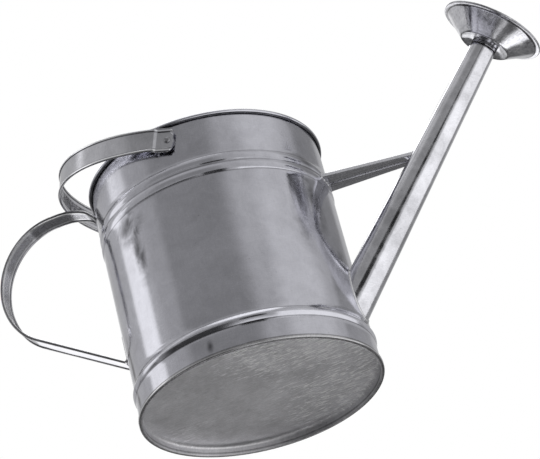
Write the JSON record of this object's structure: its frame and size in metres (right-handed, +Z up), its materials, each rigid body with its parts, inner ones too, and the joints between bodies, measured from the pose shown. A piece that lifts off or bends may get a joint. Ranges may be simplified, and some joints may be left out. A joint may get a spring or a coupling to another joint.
{
  "type": "watering can",
  "caption": "Round galvanised steel watering can with an angled spout and rose, a brace strip, a looped back handle and a swinging bail handle.",
  "frame": {"origin": "on the surface the can stands on, under the middle of its bounding box; the can's own vertical axis is 59.6 mm behind it", "axes": "+Z up, +X towards the spout, +Y to the left seen from the handle"},
  "size_m": [0.5704, 0.2388, 0.3168],
  "materials": {
    "galvanised_sheet": "hot-dip galvanised sheet, satin, with soft mottling and faint streaks round the can",
    "galvanised_bottom": "galvanised sheet, duller, with brushed streaks and faint rings",
    "galvanised_spout": "galvanised sheet, rolled, semi-gloss and mottled",
    "galvanised_rose": "spun galvanised sheet with fine turned lines",
    "galvanised_strap": "galvanised strip with bright rolled edges",
    "rivet_steel": "dull zinc-plated steel",
    "solder": "soft solder, uneven and slightly rounded"
  },
  "bodies": {
    "can": {"body_wall": "galvanised_sheet", "rim_wire": "rivet_steel", "bottom_pan": "galvanised_bottom", "spout_tube": "galvanised_spout", "spout_solder": "solder", "brace_strip": "galvanised_strap", "brace_solder_can": "solder", "brace_solder_spout": "solder", "back_handle": "galvanised_strap", "handle_rivet_1": "rivet_steel", "handle_rivet_2": "rivet_steel", "handle_rivet_3": "rivet_steel", "handle_rivet_4": "rivet_steel", "bail_washer_right": "rivet_steel", "bail_washer_left": "rivet_steel", "bail_burr_right": "rivet_steel", "bail_burr_left": "rivet_steel", "bail_rivet_right": "rivet_steel", "bail_rivet_left": "rivet_steel"},
    "bail": {"bail_strap": "galvanised_strap"},
    "rose": {"rose_ferrule": "galvanised_rose", "rose_funnel": "galvanised_rose", "rose_face": "galvanised_rose"}
  },
  "joints": [
    {"name": "bail_swing", "type": "hinge", "parent": "can", "child": "bail", "pos_m": [-0.05964, 0, 0.2264], "axis": [0, 1, 0], "range_deg": [0, 170]},
    {"name": "rose_pull", "type": "slide", "parent": "can", "child": "rose", "axis": [0.6698, 0, 0.7426], "range_m": [0, 0.02]}
  ]
}
